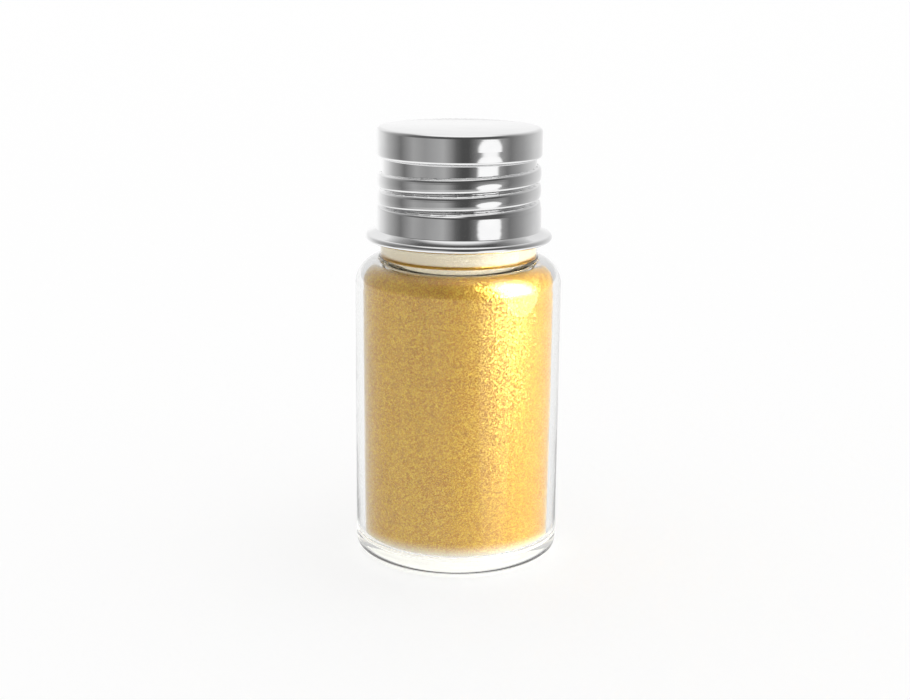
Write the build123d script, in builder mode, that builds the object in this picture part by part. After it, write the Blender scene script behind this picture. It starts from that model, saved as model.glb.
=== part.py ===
from build123d import *

import os
from math import cos, radians, sin, sqrt, tan

# A small glass sample vial filled with gold dust, closed by a roll-on threaded
# aluminium cap with a laminated sealing wad. Millimetres, +Z up, origin at the
# centre of the base, the vial's axis on Z. Angles are degrees about Z from +X.

# Glass body
body_diameter = 22.5
shoulder_height = 33.7  # base to the top of the shoulder, where the neck starts
shoulder_radius = 3.0
heel_radius = 1.9
glass_wall = 0.85
base_thickness = 2.0
floor_corner_radius = 1.3  # inside corner between the wall and the floor
push_up_diameter = 15.0  # shallow dome pressed up under the base
push_up_depth = 0.45

# Glass neck
neck_height = 12.24  # shoulder to sealing rim
neck_diameter = 15.9  # plain neck between the thread turns
neck_bore_diameter = 12.4
collar_step = 0.55  # how far the stout lower neck stands out from the plain neck
collar_height = 3.9
collar_edge_radius = 0.2
neck_root_fillet = 0.3
bore_entry_radius = 0.8  # inside shoulder to the neck bore
rim_radius = 0.5

# Thread: a right-hand round bead on one helix, in the glass and in the cap
thread_pitch = 1.85
thread_depth = 0.55  # height of the glass bead above the neck
thread_round = 0.33  # radius of the glass bead's crest
thread_flare = 0.1  # how much wider a bead is at its foot
thread_root = 0.3  # foot of a bead below the centre of its round
thread_top_gap = 3.595  # sealing rim down to the crest at the front
front_angle = -90.0
glass_thread_start = -30.0
glass_thread_turns = 1.75
thread_fade = 60.0  # angle over which a bead's end sinks away
section_step = 15.0  # angle between the sections of a bead
end_sink = 0.05  # how far below the surface a faded end stops

# Cap, one piece of rolled sheet
sheet = 0.22
thread_clearance = 0.16  # glass bead to the inside of the cap's bead
root_clearance = 0.21  # plain neck to the inside of the cap's groove
skirt_ease = 0.07  # skirt beyond the cap's own thread crest
crown_radius = 0.46
band_height = 3.2  # plain band below the crown
band_edge_radius = 0.38
groove_radius = 0.16
skirt_height = 3.7  # underside of the hem to the top of the plain skirt
skirt_edge_radius = 0.3
skirt_slope = 78.0  # slope from the thread down to the skirt, from the vertical
hem_gap = 1.8  # shoulder to the underside of the hem
hem_width = 1.205  # skirt to the outside of the curl
hem_curl_radius = 0.39
hem_fillet_radius = 0.35
hem_curl_angle = 235.0
hem_joint_rise = 0.3  # plain skirt that belongs to the hem's section
cap_thread_start = 90.0
thread_bury = 0.925  # the lower end's crest lies this far below the top of the plain skirt

# Sealing wad, three bonded plies
backing_film = 0.1
foam_core = 1.3
facing_film = 0.1
wad_gap = 0.02  # above and below the wad
wad_clearance = 0.25

# Gold dust
fill_over_shoulder = 0.1
fill_clearance = 0.03

# Sizes that follow from the ones above
body_radius = body_diameter / 2
arc_radius = body_radius - shoulder_radius  # centre of the shoulder's arc
arc_z = shoulder_height - shoulder_radius
neck_radius = neck_diameter / 2
collar_radius = neck_radius + collar_step
collar_z = shoulder_height + collar_height
join_z = arc_z + sqrt(shoulder_radius**2 - (collar_radius - arc_radius) ** 2)
bore_radius = neck_bore_diameter / 2
rim_z = shoulder_height + neck_height
fill_z = shoulder_height + fill_over_shoulder
push_up_radius = ((push_up_diameter / 2) ** 2 + push_up_depth**2) / (2 * push_up_depth)

wad_z = rim_z + wad_gap
core_z = wad_z + facing_film
backing_z = core_z + foam_core
inside_z = backing_z + backing_film + wad_gap
cap_top_z = inside_z + sheet
cap_base_z = shoulder_height + hem_gap
skirt_top_z = cap_base_z + skirt_height
band_base_z = cap_top_z - band_height

thread_centre = neck_radius + thread_depth - thread_round
bead_inside = thread_round + thread_clearance
bead_outside = bead_inside + sheet
root_inside = neck_radius + root_clearance
root_outside = root_inside + sheet
skirt_inside = thread_centre + bead_inside + skirt_ease
skirt_outside = skirt_inside + sheet
skirt_middle = skirt_inside + sheet / 2
cap_bead_height = thread_centre + bead_outside - root_outside
wad_radius = skirt_inside - wad_clearance
slope_rise = (skirt_outside - root_outside) / tan(radians(skirt_slope))
slope_shift = sheet * tan(radians(skirt_slope / 2))

hem_top_z = cap_base_z + 2 * hem_curl_radius
hem_middle_z = hem_top_z - sheet / 2
hem_joint_z = hem_top_z + hem_fillet_radius + hem_joint_rise
curl_centre = skirt_outside + hem_width - hem_curl_radius

front_crest_z = rim_z - thread_top_gap
cap_thread_top_z = front_crest_z + thread_pitch * (cap_thread_start - front_angle) / 360
cap_thread_turns = (cap_thread_top_z - skirt_top_z + thread_bury) / thread_pitch


def thread_plane(angle):
    """Upright plane through the helix at an angle: x is outward, y is up."""
    turn = radians(angle)
    rise = thread_pitch * (angle - front_angle) / 360
    centre = (0, 0, front_crest_z + rise)
    return Plane(centre, x_dir=(cos(turn), sin(turn), 0), z_dir=(sin(turn), -cos(turn), 0))


def bead_sections(start, turns, round_radius, height, lower_fade):
    """Sections of a round bead that winds down the helix from the start angle.

    The upper end sinks away over thread_fade, and so does the lower end when
    lower_fade is true. The bead stands height above the surface it rises from.
    """
    swing = 360 * turns
    count = round(swing / section_step)
    foot = round_radius + thread_flare
    sections = []
    for index in range(count + 1):
        gone = swing * index / count
        left = swing - gone if lower_fade else swing
        share = min(1, gone / thread_fade, left / thread_fade)
        sink = (height + end_sink) * (1 - sin(radians(90 * share)))
        middle = thread_centre - sink
        root = middle - thread_root
        with BuildSketch(thread_plane(start - gone)) as section:
            with BuildLine():
                Line((root, -foot), (middle, -round_radius))
                ThreePointArc(
                    (middle, -round_radius), (middle + round_radius, 0), (middle, round_radius)
                )
                Polyline((middle, round_radius), (root, foot), (root, -foot))
            make_face()
        sections.append(section.sketch)
    return sections


def round_corner(sketch, corner, radius):
    """Round the sketch's corner nearest to a point."""
    fillet(sketch.vertices().sort_by_distance(corner)[0], radius=radius)


def body_face(inset, floor_z, corner_radius):
    """Half section of the body, or of its inside when inset by the wall."""
    side = body_radius - inset
    bend = shoulder_radius - inset
    middle = bend * sqrt(0.5)
    with BuildSketch() as body:
        with BuildLine():
            Polyline((0, arc_z + bend), (0, floor_z), (side, floor_z), (side, arc_z))
            ThreePointArc(
                (side, arc_z), (arc_radius + middle, arc_z + middle), (arc_radius, arc_z + bend)
            )
            Line((arc_radius, arc_z + bend), (0, arc_z + bend))
        make_face()
        round_corner(body, (side, floor_z), corner_radius)
    return body.sketch


def inside_face(gap, top_z):
    """Half section of the vial's inside up to a height, less a gap all round."""
    inset = glass_wall + gap
    with BuildSketch() as inside:
        add(body_face(inset, base_thickness + gap, floor_corner_radius - gap))
        with Locations((0, arc_z)):
            Rectangle(bore_radius - gap, top_z - arc_z, align=(Align.MIN, Align.MIN))
        entry = (bore_radius - gap, arc_z + shoulder_radius - inset)
        round_corner(inside, entry, bore_entry_radius + gap)
    return inside.sketch


def turned_face(corners, radii):
    """Half section with every corner off the axis rounded but the last."""
    with BuildSketch() as turned:
        with BuildLine():
            FilletPolyline(*corners[:-1], radius=radii)
            Polyline(corners[-2], corners[-1], corners[0])
        make_face()
    return turned.sketch


# Vial: thick clear glass with rounded heel and shoulder, a shallow push-up
# under the base, and a neck with a collar and a round thread
with BuildPart() as vial_glass:
    with BuildSketch(Plane.XZ) as glass_outside:
        add(body_face(0, 0, heel_radius))
        with Locations((0, arc_z)):
            Rectangle(collar_radius, collar_z - arc_z, align=(Align.MIN, Align.MIN))
            Rectangle(neck_radius, rim_z - arc_z, align=(Align.MIN, Align.MIN))
        round_corner(glass_outside, (collar_radius, join_z), neck_root_fillet)
        round_corner(glass_outside, (collar_radius, collar_z), collar_edge_radius)
        round_corner(glass_outside, (neck_radius, collar_z), collar_edge_radius)
    revolve(axis=Axis.Z)
    loft(bead_sections(glass_thread_start, glass_thread_turns, thread_round, thread_depth, True))
    with BuildSketch(Plane.XZ):
        add(inside_face(0, rim_z))
    revolve(axis=Axis.Z, mode=Mode.SUBTRACT)
    with Locations((0, 0, push_up_depth - push_up_radius)):
        Sphere(push_up_radius, mode=Mode.SUBTRACT)
    fillet(vial_glass.faces().sort_by(Axis.Z)[-1].edges(), radius=rim_radius)

# Gold dust: the bulk of the fill, level with the foot of the neck
with BuildPart() as gold_dust:
    with BuildSketch(Plane.XZ):
        add(inside_face(fill_clearance, fill_z))
    revolve(axis=Axis.Z)

# Cap: crown, plain band, rolled thread and plain skirt from one sheet, with the
# lower edge turned out and curled under as a hem
outside_corners = [
    (0, cap_top_z),
    (skirt_outside, cap_top_z),
    (skirt_outside, band_base_z),
    (root_outside, band_base_z),
    (root_outside, skirt_top_z + slope_rise),
    (skirt_outside, skirt_top_z),
    (skirt_outside, hem_joint_z),
    (0, hem_joint_z),
]
outside_radii = [crown_radius, band_edge_radius, groove_radius, groove_radius, skirt_edge_radius]
inside_corners = [
    (0, inside_z),
    (skirt_inside, inside_z),
    (skirt_inside, band_base_z + sheet),
    (root_inside, band_base_z + sheet),
    (root_inside, skirt_top_z + slope_rise - slope_shift),
    (skirt_inside, skirt_top_z - slope_shift),
    (skirt_inside, hem_joint_z),
    (0, hem_joint_z),
]
inside_radii = [
    crown_radius - sheet,
    band_edge_radius - sheet,
    groove_radius + sheet,
    groove_radius + sheet,
    skirt_edge_radius - sheet,
]

with BuildPart() as cap_shell:
    with BuildSketch(Plane.XZ):
        add(turned_face(outside_corners, outside_radii))
    revolve(axis=Axis.Z)
    loft(bead_sections(cap_thread_start, cap_thread_turns, bead_outside, cap_bead_height, False))
    with BuildSketch(Plane.XZ):
        add(turned_face(inside_corners, inside_radii))
    revolve(axis=Axis.Z, mode=Mode.SUBTRACT)
    loft(
        bead_sections(cap_thread_start, cap_thread_turns, bead_inside, cap_bead_height, False),
        mode=Mode.SUBTRACT,
    )
    with BuildSketch(Plane.XZ):
        with BuildLine():
            FilletPolyline(
                (skirt_middle, hem_joint_z),
                (skirt_middle, hem_middle_z),
                (curl_centre, hem_middle_z),
                radius=hem_fillet_radius + sheet / 2,
            )
            CenterArc(
                (curl_centre, hem_top_z - hem_curl_radius),
                hem_curl_radius - sheet / 2,
                90,
                -hem_curl_angle,
            )
        trace(line_width=sheet)
    revolve(axis=Axis.Z)

# Sealing wad: a foam disc with a film bonded to each face
with BuildPart() as liner_facing_film:
    with BuildSketch(Plane.XY.offset(wad_z)):
        Circle(wad_radius)
    extrude(amount=facing_film)

with BuildPart() as liner_foam_core:
    with BuildSketch(Plane.XY.offset(core_z)):
        Circle(wad_radius)
    extrude(amount=foam_core)

with BuildPart() as liner_backing_film:
    with BuildSketch(Plane.XY.offset(backing_z)):
        Circle(wad_radius)
    extrude(amount=backing_film)

pieces = {
    "vial_glass": vial_glass,
    "gold_dust": gold_dust,
    "cap_shell": cap_shell,
    "liner_facing_film": liner_facing_film,
    "liner_foam_core": liner_foam_core,
    "liner_backing_film": liner_backing_film,
}
os.makedirs("parts", exist_ok=True)
for name, piece in pieces.items():
    piece.part.label = name
    export_step(piece.part, f"parts/{name}.step")
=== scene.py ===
from math import pi, radians

import bpy
import numpy as np
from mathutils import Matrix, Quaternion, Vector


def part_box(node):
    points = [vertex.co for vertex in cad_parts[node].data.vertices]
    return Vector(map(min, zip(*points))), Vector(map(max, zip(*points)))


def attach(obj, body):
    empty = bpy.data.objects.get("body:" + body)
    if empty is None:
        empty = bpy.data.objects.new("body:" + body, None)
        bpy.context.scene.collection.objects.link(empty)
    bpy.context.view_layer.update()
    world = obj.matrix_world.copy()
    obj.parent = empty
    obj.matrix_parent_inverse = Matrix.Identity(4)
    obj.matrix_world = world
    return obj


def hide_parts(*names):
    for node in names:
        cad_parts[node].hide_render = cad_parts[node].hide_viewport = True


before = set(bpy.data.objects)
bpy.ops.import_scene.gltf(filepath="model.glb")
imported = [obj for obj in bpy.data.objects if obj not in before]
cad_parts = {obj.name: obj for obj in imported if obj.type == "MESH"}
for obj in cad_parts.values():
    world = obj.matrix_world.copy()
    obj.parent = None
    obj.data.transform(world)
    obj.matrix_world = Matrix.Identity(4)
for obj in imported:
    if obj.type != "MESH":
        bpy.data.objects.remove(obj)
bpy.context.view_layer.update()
mm = 0.001

# ---------------------------------------------------------------- glass vial
# One piece of clear soda-lime glass, drawn from tubing: a rounded heel and
# shoulder, a thick base pressed up a little in the middle, and a stout neck
# with a round thread rolled into it.
_, glass_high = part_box("vial_glass")
body_radius = glass_high.x
rim_height = glass_high.z
wall = 0.85 * mm
neck_height = 12.24 * mm
shoulder_height = rim_height - neck_height
shoulder_bend = 3.0 * mm
bend_radius = body_radius - shoulder_bend
bend_height = shoulder_height - shoulder_bend
heel_bend = 1.9 * mm
floor_height = 2.0 * mm
floor_bend = 1.3 * mm
push_up_radius = 7.5 * mm
push_up_depth = 0.45 * mm
collar_radius = 8.5 * mm
collar_height = 3.9 * mm
collar_top = shoulder_height + collar_height
neck_radius = 7.95 * mm
bore_radius = 6.2 * mm
bore_entry_bend = 0.8 * mm
rim_bend = 0.5 * mm
collar_bend = 0.2 * mm
root_bend = 0.3 * mm
root_angle = 75
ripple_size, ripple_depth = 7 * mm, 0.01 * mm

thread_pitch = 1.85 * mm
thread_drop = 3.595 * mm
thread_front = rim_height - thread_drop
thread_fade = 1 / 6
thread_dome = 2.4 * mm
thread_blend = 0.05 * mm
glass_bead = {
    "crest": 8.5 * mm,
    "width": 0,
    "bend": 0.33 * mm,
    "rise": 0.60 * mm,
    "start": 1 / 6,
    "turns": 1.75,
    "lower_fade": True,
}
glass_wind_top, glass_wind_bottom = rim_height - 0.8 * mm, collar_top + 0.4 * mm
glass_wind_rows, glass_sides = 90, 256


def rounded(corners, bends, steps=9):
    """Rows of (radius, height) along straight runs, with an arc of each bend at each inner corner.

    An arc touches its two runs at bend / tan(half the corner's angle) from the corner, and
    its points swing about the arc's centre from one touching point to the other.
    """
    corners = np.array(corners, float)
    rows = [corners[:1]]
    for before, corner, after, bend in zip(corners, corners[1:], corners[2:], bends):
        back = (before - corner) / np.linalg.norm(before - corner)
        ahead = (after - corner) / np.linalg.norm(after - corner)
        half = np.arccos(np.clip(back @ ahead, -1, 1)) / 2
        centre = corner + (back + ahead) / np.linalg.norm(back + ahead) * bend / np.sin(half)
        start = corner + back * bend / np.tan(half) - centre
        end = corner + ahead * bend / np.tan(half) - centre
        swing = pi - 2 * half
        share = np.linspace(0, 1, steps)[:, None]
        swung = np.sin((1 - share) * swing) * start + np.sin(share * swing) * end
        rows.append(centre + swung / np.sin(swing))
    rows.append(corners[-1:])
    return np.concatenate(rows)


def arc(centre, bend, start, end, steps=13):
    """Rows of (radius, height) on a circle: centre + bend * (cos, sin) from start to end degrees."""
    angle = np.radians(np.linspace(start, end, steps))
    return np.array(centre) + bend * np.stack([np.cos(angle), np.sin(angle)], 1)


def bead_edge(height, turn, crest, width, bend, rise, start, turns, lower_fade):
    """Outer radius of a round-edged bead wound on a helix, at heights and turns about the axis.

    The crest climbs one pitch a turn. Across its width the edge is domed, crest -
    distance^2 / (2 * dome), and past it the edge falls off round the bend, bend -
    sqrt(bend^2 - excess^2). An end sinks by the bead's rise as it fades.
    """
    edge = np.zeros(np.broadcast(height, turn).shape)
    for lap in range(-int(np.ceil(turns)) - 1, 2):
        along = turn + lap
        gone = start - along
        left = along - (start - turns)
        share = np.clip((np.minimum(gone, left) if lower_fade else gone) / thread_fade, 0, 1)
        distance = np.abs(height - thread_front - thread_pitch * along)
        dome = np.minimum(distance, width / 2) ** 2 / (2 * thread_dome)
        excess = np.maximum(distance - width / 2, 0)
        falling = bend - np.sqrt(np.maximum(bend**2 - excess**2, 0))
        lap_edge = crest - dome - falling - rise * (1 - np.sin(share * pi / 2))
        edge = np.maximum(edge, np.where((excess < bend) & (gone >= 0) & (left >= 0), lap_edge, 0))
    return edge


def wound(outline, top, bottom, rows, sides, bead):
    """Radius grid and heights of an outline turned about the axis, with a bead on one stretch.

    The stretch between the two heights is redrawn in even rows, and there the radius is the
    larger of outline and bead, eased as (a + b + sqrt((a - b)^2 + blend^2)) / 2.
    """
    steps = np.linspace(top, bottom, rows)
    outside = outline[:-1, 0] > neck_radius - wall
    before, after = outline[:-1, 1], outline[1:, 1]
    first = np.flatnonzero(outside & ((before - top) * (after - top) < 0))[0] + 1
    last = np.flatnonzero(outside & ((before - bottom) * (after - bottom) < 0))[0]
    near = outline[first - 1 : last + 2]
    near = near[np.argsort(near[:, 1], kind="stable")]
    plain = np.interp(steps, near[:, 1], near[:, 0])[:, None]
    edge = bead_edge(steps[:, None], np.arange(sides)[None] / sides, **bead)
    eased = (plain + edge + np.sqrt((plain - edge) ** 2 + thread_blend**2)) / 2
    turned = np.repeat(outline[:, :1], sides, axis=1)
    radius = np.concatenate([turned[:first], eased, turned[last + 1 :]])
    return radius, np.concatenate([outline[:first, 1], steps, outline[last + 1 :, 1]])


def lathe(name, radius, height, material):
    """A closed turned piece: row i, side j stands at radius[i, j] and height[i], j / sides of a turn round.

    Turn 0 is the front, -Y, and turns run anticlockwise seen from above. The first and last
    rows lie on the axis, each as one point. Where the rows run down, faces look away from it.
    """
    rows, sides = radius.shape
    angle = 2 * pi * np.arange(sides) / sides - pi / 2
    grid = np.empty((rows - 2, sides, 3))
    grid[..., 0] = radius[1:-1] * np.cos(angle)
    grid[..., 1] = radius[1:-1] * np.sin(angle)
    grid[..., 2] = height[1:-1, None]
    points = np.concatenate([grid.reshape(-1, 3), [[0, 0, height[0]], [0, 0, height[-1]]]])
    here = np.arange((rows - 2) * sides).reshape(rows - 2, sides)
    beside = np.roll(here, -1, axis=1)
    quads = np.stack([here[:-1], here[1:], beside[1:], beside[:-1]], -1).reshape(-1, 4)
    first = np.stack([np.full(sides, len(points) - 2), here[0], beside[0]], -1)
    last = np.stack([np.full(sides, len(points) - 1), beside[-1], here[-1]], -1)
    mesh = bpy.data.meshes.new(name)
    mesh.from_pydata(points.tolist(), [], quads.tolist() + first.tolist() + last.tolist())
    mesh.polygons.foreach_set("use_smooth", np.ones(len(mesh.polygons), bool))
    mesh.materials.append(material)
    piece = bpy.data.objects.new(name, mesh)
    bpy.context.scene.collection.objects.link(piece)
    return piece


class Wire:
    """The value on a shader socket. Arithmetic on it adds Math nodes."""

    def __init__(self, socket):
        self.socket = socket

    def math(self, operation, one, other=None):
        node = self.socket.id_data.nodes.new("ShaderNodeMath")
        node.operation = operation
        plug(node.inputs[0], one)
        plug(node.inputs[1], other)
        return Wire(node.outputs[0])

    def __add__(self, other):
        return self.math("ADD", self, other)

    def __sub__(self, other):
        return self.math("SUBTRACT", self, other)

    def __rsub__(self, other):
        return self.math("SUBTRACT", other, self)

    def __mul__(self, other):
        return self.math("MULTIPLY", self, other)

    def __truediv__(self, other):
        return self.math("DIVIDE", self, other)

    __radd__, __rmul__ = __add__, __mul__


def plug(socket, value):
    """Links a wire to a socket, or sets the socket's own value."""
    if isinstance(value, Wire):
        socket.id_data.links.new(value.socket, socket)
    elif value is not None:
        socket.default_value = value


class Finish:
    """The node tree of one finish, or of the studio's light."""

    def __init__(self, owner):
        owner.use_nodes = True
        self.owner, self.tree = owner, owner.node_tree
        self.tree.nodes.clear()

    def node(self, kind, out=0, settings=(), sockets=()):
        """Adds a node: its settings first, then its sockets' values or wires. Returns one output."""
        node = self.tree.nodes.new("ShaderNode" + kind)
        for name, value in dict(settings).items():
            if name == "stops":
                ramp = node.color_ramp.elements
                ramp.remove(ramp[1])
                ramp[0].position, ramp[0].color = value[0]
                for position, colour in value[1:]:
                    ramp.new(position).color = colour
            else:
                setattr(node, name, value)
        for name, value in dict(sockets).items():
            plug(next(s for s in node.inputs if name in (s.identifier, s.name)), value)
        return Wire(node.outputs[out]) if node.outputs else None

    def place(self):
        return self.node("TexCoord", "Object")

    def axis(self, name, vector):
        return self.node("SeparateXYZ", name, sockets={"Vector": vector})

    def noise(self, size, detail=2.0):
        """Soft noise from 0 to 1, with features about size across."""
        sockets = {"Vector": self.place(), "Scale": 1 / size, "Detail": detail}
        return self.node("TexNoise", 0, sockets=sockets)

    def step(self, value, low, high):
        """0 where the value is at low and 1 where it is at high, smooth between them."""
        ends = {"From Min": min(low, high), "From Max": max(low, high)}
        ends.update({"To Min": float(low > high), "To Max": float(low < high)})
        return self.node("MapRange", 0, {"interpolation_type": "SMOOTHSTEP"}, {"Value": value, **ends})

    def mix(self, share, one, other):
        """The first colour where share is 0, the second where it is 1."""
        sockets = {"Factor_Float": share}
        for name, colour in (("A_Color", one), ("B_Color", other)):
            sockets[name] = (*colour, 1) if isinstance(colour, tuple) else colour
        return self.node("Mix", 2, {"data_type": "RGBA"}, sockets)

    def principled(self, **sockets):
        """Ends the finish in a Principled shader, with underscores for the spaces in socket names."""
        named = {name.replace("_", " "): value for name, value in sockets.items()}
        shader = self.node("BsdfPrincipled", sockets=named)
        self.node("OutputMaterial", sockets={"Surface": shader})
        return self.owner


clear = Finish(bpy.data.materials.new("clear_glass"))
ripple = clear.node("Bump", sockets={"Height": clear.noise(ripple_size, 1.0), "Distance": ripple_depth})
clear_glass = clear.principled(
    Base_Color=(0.985, 0.99, 0.985, 1), Transmission_Weight=1.0, IOR=1.5, Roughness=0.0, Normal=ripple
)

root = arc((bend_radius, bend_height), shoulder_bend, root_angle, root_angle, 1)[0]
root_height = bend_height + np.sqrt(shoulder_bend**2 - (collar_radius - bend_radius) ** 2)
dome_curve = (push_up_radius**2 + push_up_depth**2) / (2 * push_up_depth)
dome_angle = np.degrees(np.arcsin(push_up_radius / dome_curve))
glass_outline = np.concatenate([
    rounded(
        [(0, floor_height), (body_radius - wall, floor_height), (body_radius - wall, bend_height)],
        [floor_bend],
    )[:-1],
    arc((bend_radius, bend_height), shoulder_bend - wall, 0, 90),
    rounded(
        [
            (bend_radius - 0.1 * mm, shoulder_height - wall),
            (bore_radius, shoulder_height - wall),
            (bore_radius, rim_height),
            (neck_radius, rim_height),
            (neck_radius, collar_top),
            (collar_radius, collar_top),
            (collar_radius, root_height),
            tuple(root),
        ],
        [bore_entry_bend, rim_bend, rim_bend, collar_bend, collar_bend, root_bend],
    )[:-1],
    arc((bend_radius, bend_height), shoulder_bend, root_angle, 0, 17)[:-1],
    rounded([(body_radius, bend_height), (body_radius, 0), (push_up_radius, 0)], [heel_bend], 13),
    arc((0, push_up_depth - dome_curve), dome_curve, 90 - dome_angle, 90, 9)[1:],
])
glass = lathe(
    "glass_vial",
    *wound(glass_outline, glass_wind_top, glass_wind_bottom, glass_wind_rows, glass_sides, glass_bead),
    clear_glass,
)
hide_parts("vial_glass")
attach(glass, "vial")

# ----------------------------------------------------------------- gold dust
# Fine bright metal dust, filled to the foot of the neck and pressed against the
# glass. Near the floor and up the bore it is painted pale and glows: painted light
# standing in for the white light and reflection seen there.
_, dust_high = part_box("gold_dust")
contact = 0.05 * mm
gap = 0.03 * mm
film = 0.1 * mm
film_height = 3.2 * mm
film_top = shoulder_height + film_height
dust_side = body_radius - wall - gap
dust_floor = floor_height - contact
dust_roof = shoulder_height - wall + contact
dust_outline = np.concatenate([
    rounded(
        [
            (0, dust_high.z),
            (bore_radius - film, dust_high.z),
            (bore_radius - film, film_top),
            (bore_radius + contact, film_top),
            (bore_radius + contact, dust_roof),
            (bend_radius - 0.8 * mm, dust_roof),
        ],
        [0.6 * mm, film / 4, film / 4, bore_entry_bend],
    )[:-1],
    arc((bend_radius, bend_height), shoulder_bend - wall - gap, 90, 0)[:-1],
    rounded([(dust_side, bend_height), (dust_side, dust_floor), (0, dust_floor)], [floor_bend]),
])
gold = Finish(bpy.data.materials.new("gold_dust"))
flake_size, clump_size, cloud_size = 0.10 * mm, 0.6 * mm, 4 * mm
flake_lean = 0.34
floor_glow_height, pale_height = 2.2 * mm, 2 * mm
cell = gold.node(
    "TexVoronoi", "Color", sockets={"Vector": gold.place(), "Scale": 1 / flake_size, "Randomness": 1.0}
)
clump = gold.noise(clump_size, 3.0)
cloud = gold.noise(cloud_size, 3.0)
flake = gold.step(gold.axis("X", cell) + clump * 0.4, 0.2, 1.3)
matrix = gold.mix(gold.step(cloud, 0.35, 0.65), (0.78, 0.28, 0.008), (0.82, 0.33, 0.014))
matrix = gold.mix(gold.step(clump, 0.55, 0.35) * 0.5, matrix, (0.68, 0.26, 0.02))
metal = gold.mix(flake, matrix, (1.0, 0.70, 0.10))
# Painted light: near the floor and up the bore the dust turns pale and glows, in place of the white light and
# reflection seen there.
level = gold.axis("Z", gold.place())
floor_glow = gold.step(level, floor_height + floor_glow_height, floor_height + 0.1 * mm) * 0.95
bore_glow = gold.step(level, shoulder_height - 0.3 * mm, shoulder_height + 0.1 * mm)
painted_glow_share = floor_glow * (1 - bore_glow) + bore_glow
pale = gold.mix(
    gold.step(level, floor_height, floor_height + pale_height), (0.96, 0.96, 0.95), (0.96, 0.88, 0.70)
)
facing = gold.node("NewGeometry", "Normal")
off = gold.node(
    "VectorMath", 0, {"operation": "SUBTRACT"}, {"Vector": cell, "Vector_001": (0.5, 0.5, 0.5)}
)
off = gold.node("VectorMath", 0, {"operation": "SCALE"}, {"Vector": off, "Scale": flake_lean})
leaning = gold.node("VectorMath", 0, {"operation": "ADD"}, {"Vector": facing, "Vector_001": off})
leaning = gold.node("VectorMath", 0, {"operation": "NORMALIZE"}, {"Vector": leaning})
# The pale parts near the floor and up the bore also glow: a painted glow, not a lamp.
gold_dust = gold.principled(
    Base_Color=gold.mix(painted_glow_share, metal, pale),
    Metallic=(0.3 + flake * 0.5) * (1 - painted_glow_share),
    Roughness=0.42 - flake * 0.14 + painted_glow_share * 0.4,
    IOR=2.4,
    Specular_Tint=(0.9, 0.94, 0.6, 1),
    Emission_Color=gold.mix(painted_glow_share, (0, 0, 0), pale),
    Emission_Strength=0.4,
    Normal=leaning,
)
dust = lathe("gold_dust_fill", np.repeat(dust_outline[:, :1], 192, axis=1), dust_outline[:, 1], gold_dust)
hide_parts("gold_dust")
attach(dust, "vial")

# ------------------------------------------------------------- aluminium cap
# One sheet of bright lacquered aluminium, drawn into a cup, with the thread
# rolled in over the glass and the lower edge turned out and curled under.
cap_low, cap_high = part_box("cap_shell")
sheet = 0.22 * mm
cap_top = cap_high.z
skirt_radius = 8.95 * mm
root_radius = 8.38 * mm
crown_bend = 0.46 * mm
band_bottom = cap_top - 3.2 * mm
band_bend = 0.38 * mm
groove_bend = 0.16 * mm
skirt_top = cap_low.z + 3.7 * mm
skirt_bend = 0.3 * mm
skirt_slope = 0.121 * mm
inner_slope = 0.178 * mm
curl_bend = 0.39 * mm
curl_radius = cap_high.x - curl_bend
curl_height = cap_low.z + curl_bend
curl_end = -145
hem_bend = 0.12 * mm
hem_inner_bend = 0.35 * mm
line_size, line_depth = 0.1 * mm, 0.0004 * mm
blotch_size = 2.5 * mm
flange_slope = 0.45 * mm
crease_bend = 0.3 * mm
crease_height = cap_top - 1.8 * mm
crease = 0.02 * mm
bulge = 0.025 * mm
wall_bend = 16 * mm
lower_wall_bend = 9 * mm
cap_bead = {"width": 0.84 * mm, "rise": 0.55 * mm, "start": 0.5, "turns": 2.7, "lower_fade": False}
bead_crest = 8.88 * mm
bead_bend = 0.4 * mm

outer_outline = np.concatenate([
    rounded(
        [
            (0, cap_top),
            (skirt_radius - bulge, cap_top),
            (skirt_radius, (cap_top + crease_height) / 2),
            (skirt_radius - crease, crease_height),
            (skirt_radius, (crease_height + band_bottom) / 2),
            (skirt_radius - bulge, band_bottom),
            (root_radius, band_bottom),
            (root_radius, skirt_top + skirt_slope),
            (skirt_radius - bulge, skirt_top),
            (skirt_radius, (skirt_top + curl_height) / 2),
            (skirt_radius, curl_height + curl_bend + flange_slope),
            (curl_radius, curl_height + curl_bend),
        ],
        [
            crown_bend,
            wall_bend,
            crease_bend,
            lower_wall_bend,
            band_bend,
            groove_bend,
            groove_bend,
            skirt_bend,
            wall_bend,
            hem_bend,
        ],
    )[:-1],
    arc((curl_radius, curl_height), curl_bend, 90, curl_end, 19),
])
inner_outline = np.concatenate([
    arc((curl_radius, curl_height), curl_bend - sheet, curl_end, 90, 13)[:-1],
    rounded(
        [
            (curl_radius, curl_height + curl_bend - sheet),
            (skirt_radius - sheet, curl_height + curl_bend - sheet),
            (skirt_radius - sheet, skirt_top - inner_slope),
            (root_radius - sheet, skirt_top + skirt_slope - inner_slope),
            (root_radius - sheet, band_bottom + sheet),
            (skirt_radius - sheet, band_bottom + sheet),
            (skirt_radius - sheet, cap_top - sheet),
            (0, cap_top - sheet),
        ],
        [
            hem_inner_bend + sheet,
            skirt_bend - sheet,
            groove_bend + sheet,
            groove_bend + sheet,
            band_bend - sheet,
            crown_bend - sheet,
        ],
    ),
])
wind_top, wind_bottom = band_bottom - 0.2 * mm, skirt_top - 1.3 * mm
outer_rows, inner_rows, cap_sides = 116, 70, 288
outer_bead = {"crest": bead_crest, "bend": bead_bend, **cap_bead}
inner_bead = {"crest": bead_crest - sheet, "bend": bead_bend - sheet, **cap_bead}
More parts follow.
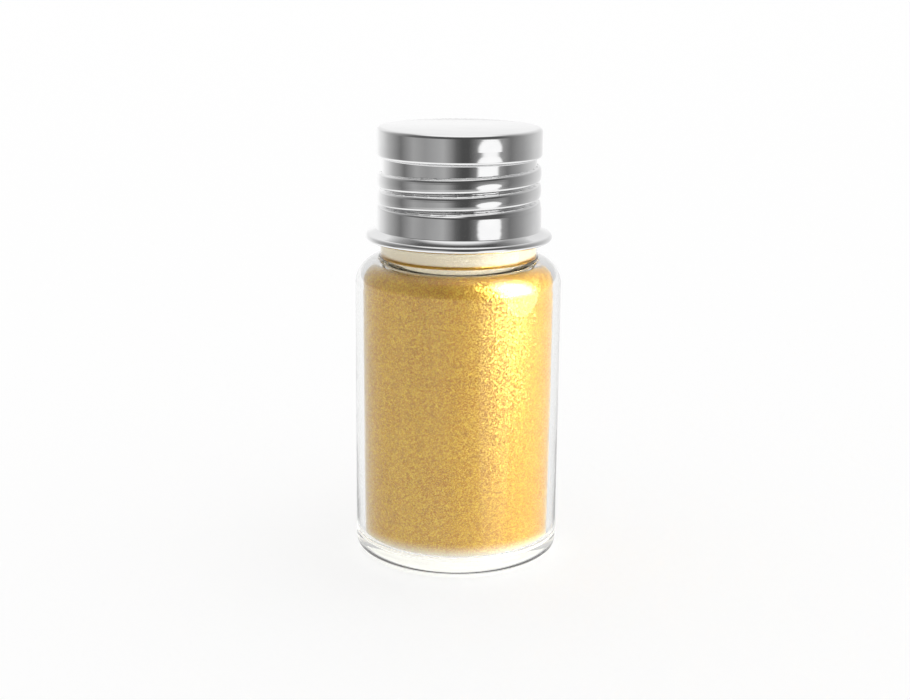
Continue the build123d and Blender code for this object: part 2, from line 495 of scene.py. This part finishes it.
outer_radius, outer_height = wound(
    outer_outline, wind_top, wind_bottom, outer_rows, cap_sides, outer_bead
)
inner_radius, inner_height = wound(
    inner_outline, wind_bottom, wind_top, inner_rows, cap_sides, inner_bead
)
bright = Finish(bpy.data.materials.new("cap_aluminium"))
across = bright.node(
    "VectorMath", 0, {"operation": "MULTIPLY"}, {"Vector": bright.place(), "Vector_001": (1, 1, 0)}
)
reach = bright.node("VectorMath", "Value", {"operation": "LENGTH"}, {"Vector": across})
lines = bright.node(
    "TexNoise",
    0,
    {"noise_dimensions": "1D"},
    {"W": bright.axis("Z", bright.place()) + reach, "Scale": 1 / line_size, "Detail": 3.0},
)
blotch = bright.noise(blotch_size, 3.0)
turning = bright.node("Bump", sockets={"Height": lines, "Distance": line_depth})
cap_aluminium = bright.principled(
    Base_Color=bright.mix(bright.step(blotch, 0.3, 0.7), (0.89, 0.89, 0.895), (0.93, 0.93, 0.93)),
    Metallic=1.0,
    Roughness=0.06 + lines * 0.04 + blotch * 0.03,
    Normal=turning,
)
cap = lathe(
    "aluminium_cap",
    np.concatenate([outer_radius, inner_radius]),
    np.concatenate([outer_height, inner_height]),
    cap_aluminium,
)
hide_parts("cap_shell")
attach(cap, "cap")

# --------------------------------------------------------------- sealing wad
# A punched disc of white foam with a thin film bonded to each face, held in the
# crown by its own spring.
bubble_size, dimple_depth = 0.25 * mm, 0.02 * mm
for node, slot, gloss in (
    ("liner_facing_film", "liner_film", 0.30),
    ("liner_foam_core", "liner_foam", 0.75),
    ("liner_backing_film", "liner_film", 0.35),
):
    low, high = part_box(node)
    cut_bend = (high.z - low.z) * 0.3
    ply_outline = rounded([(0, high.z), (high.x, high.z), (high.x, low.z), (0, low.z)], [cut_bend] * 2, 5)
    foam = Finish(bpy.data.materials.new(node))
    bubble = foam.node("TexVoronoi", "Distance", sockets={"Vector": foam.place(), "Scale": 1 / bubble_size})
    dimples = foam.node("Bump", sockets={"Height": bubble, "Distance": dimple_depth})
    white = foam.mix(foam.step(bubble, 0.1, 0.6), (0.90, 0.90, 0.89), (0.84, 0.84, 0.83))
    ply_finish = foam.principled(Base_Color=white, Roughness=gloss + bubble * 0.1, Normal=dimples)
    ply = lathe(
        node.replace("liner", "wad"), np.repeat(ply_outline[:, :1], 96, axis=1), ply_outline[:, 1], ply_finish
    )
    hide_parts(node)
    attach(ply, "liner")

# -------------------------------------------------------------------- studio
# A white sweep in a soft studio: white behind, above and below, a grey wall to
# the left, the camera's dark side in front, and a tall softbox to its right.
sweep = Finish(bpy.data.materials.new("white_sweep"))
white_sweep = sweep.principled(
    Base_Color=(0.36, 0.36, 0.36, 1), Roughness=0.9, Emission_Color=(1, 1, 1, 1), Emission_Strength=0.62
)
sweep_reach = 3.0
sweep_mesh = bpy.data.meshes.new("studio_sweep")
corners = [(-1, -1), (1, -1), (1, 1), (-1, 1)]
sweep_mesh.from_pydata([(x * sweep_reach, y * sweep_reach, 0) for x, y in corners], [], [(0, 1, 2, 3)])
sweep_mesh.materials.append(white_sweep)
floor = bpy.data.objects.new("studio_sweep", sweep_mesh)
bpy.context.scene.collection.objects.link(floor)
floor.visible_glossy = False

# A tall panel stands at the camera's right and shows in the glass alone, as a pale
# patch on the shoulder.
panel_reach, panel_bearing = 300 * mm, radians(76)
panel_low, panel_high = -27.5 * mm, 600 * mm
panel_glow = 3.0
panel = bpy.data.lights.new("tall_panel", "AREA")
panel.shape = "RECTANGLE"
panel.size, panel.size_y = 230 * mm, panel_high - panel_low
panel.color = (0.86, 0.96, 1.0)
panel.energy = panel_glow * pi * panel.size * panel.size_y
stand = bpy.data.objects.new("tall_panel", panel)
stand.location = (
    panel_reach * np.sin(panel_bearing),
    -panel_reach * np.cos(panel_bearing),
    (panel_low + panel_high) / 2,
)
stand.rotation_euler = (pi / 2, 0, panel_bearing)
stand.visible_camera = False
bpy.context.scene.collection.objects.link(stand)
lit = bpy.data.collections.new("lit_by_tall_panel")
lit.objects.link(glass)
stand.light_linking.receiver_collection = lit

world = bpy.data.worlds.new("studio")
bpy.context.scene.world = world
world.cycles.sampling_method = "NONE"
room = Finish(world)
ray = room.node("TexCoord", "Generated")
east, north, up = (room.axis(name, ray) for name in "XYZ")
bearing = east.math("ARCTAN2", east, north * -1) * (180 / pi)
climb = up.math("ARCSINE", up) * (180 / pi)


def around(levels):
    """Brightness by bearing in degrees: 0 towards the camera, positive to its right."""
    stops = [(angle / 360 + 0.5, (level, level, level, 1)) for angle, level in levels]
    ramp = room.node("ValToRGB", 0, {"stops": stops}, {"Fac": bearing / 360 + 0.5})
    return room.node("RGBToBW", sockets={"Color": ramp})


def between(value, low, high, soft):
    """1 where the value lies between low and high, falling to 0 over soft at each end."""
    rising = room.step(value, low - soft / 2, low + soft / 2)
    return rising * room.step(value, high + soft / 2, high - soft / 2)


level_wall = around([
    (-180, 1.0), (-157, 1.0), (-131, 0.72), (-113, 0.43), (-88, 0.165), (-66, 0.37), (-48, 0.31),
    (-22, 0.42), (-12, 0.26), (-4, 0.12), (4, 0.075), (13, 0.075), (22, 0.17), (30, 0.3), (62, 0.3),
    (74, 0.17), (97, 0.32), (126, 0.6), (155, 0.8), (180, 1.0),
])
across_box, down_box = (bearing - 43) / 19, (climb + 14) / 13
softbox = room.step(across_box * across_box + down_box * down_box, 1.15, 0.8)
level_wall = level_wall + softbox * 0.75
overhead = room.step(climb, 50, 68)
high_wall = around([
    (-180, 0.9), (-150, 0.85), (-110, 0.35), (-70, 0.12), (0, 0.07), (60, 0.09), (90, 0.25), (120, 0.5),
    (150, 0.75), (180, 0.9),
])
high_wall = high_wall * (1 - overhead) + overhead
upward = room.step(climb, 2, 12)
downward = room.step(climb, -18, -34)
mirrored = level_wall * (1 - upward) + high_wall * upward
mirrored = mirrored * (1 - downward) + downward

seen_through = around([
    (-180, 0.8), (-110, 0.62), (-60, 0.54), (-25, 0.3), (10, 0.27), (40, 0.4), (110, 0.5), (180, 0.8)
])
gold_box_glow = 13.0
seen_through = seen_through + between(bearing, 52, 92, 12) * between(climb, -55, 50, 20) * gold_box_glow

path = {name: room.node("LightPath", f"Is {name} Ray") for name in ("Camera", "Diffuse", "Transmission")}
plain = path["Camera"] + path["Diffuse"]
value = plain + (1 - plain) * (path["Transmission"] * seen_through + (1 - path["Transmission"]) * mirrored)
colour = room.node("CombineColor", sockets={"Red": value, "Green": value, "Blue": value})
glow = room.node("Background", sockets={"Color": colour})
room.node("OutputWorld", sockets={"Surface": glow})

# -------------------------------------------------------------------- camera
# A 64.4 mm lens a hand's width away, tipped down to the vial and rolled by half
# a degree.
camera = bpy.data.objects.new("camera", bpy.data.cameras.new("camera"))
camera.data.lens = 64.4
camera.data.sensor_width = 36.0
camera.data.clip_start = 0.01
camera.location = (-0.284 * mm, -175.33 * mm, 65.69 * mm)
camera.rotation_mode = "QUATERNION"
tip, roll = Quaternion((1, 0, 0), radians(90 - 13.686)), Quaternion((0, 0, 1), radians(0.537))
camera.rotation_quaternion = tip @ roll
bpy.context.scene.collection.objects.link(camera)
bpy.context.scene.camera = camera
bpy.context.scene.view_settings.view_transform = "Standard"
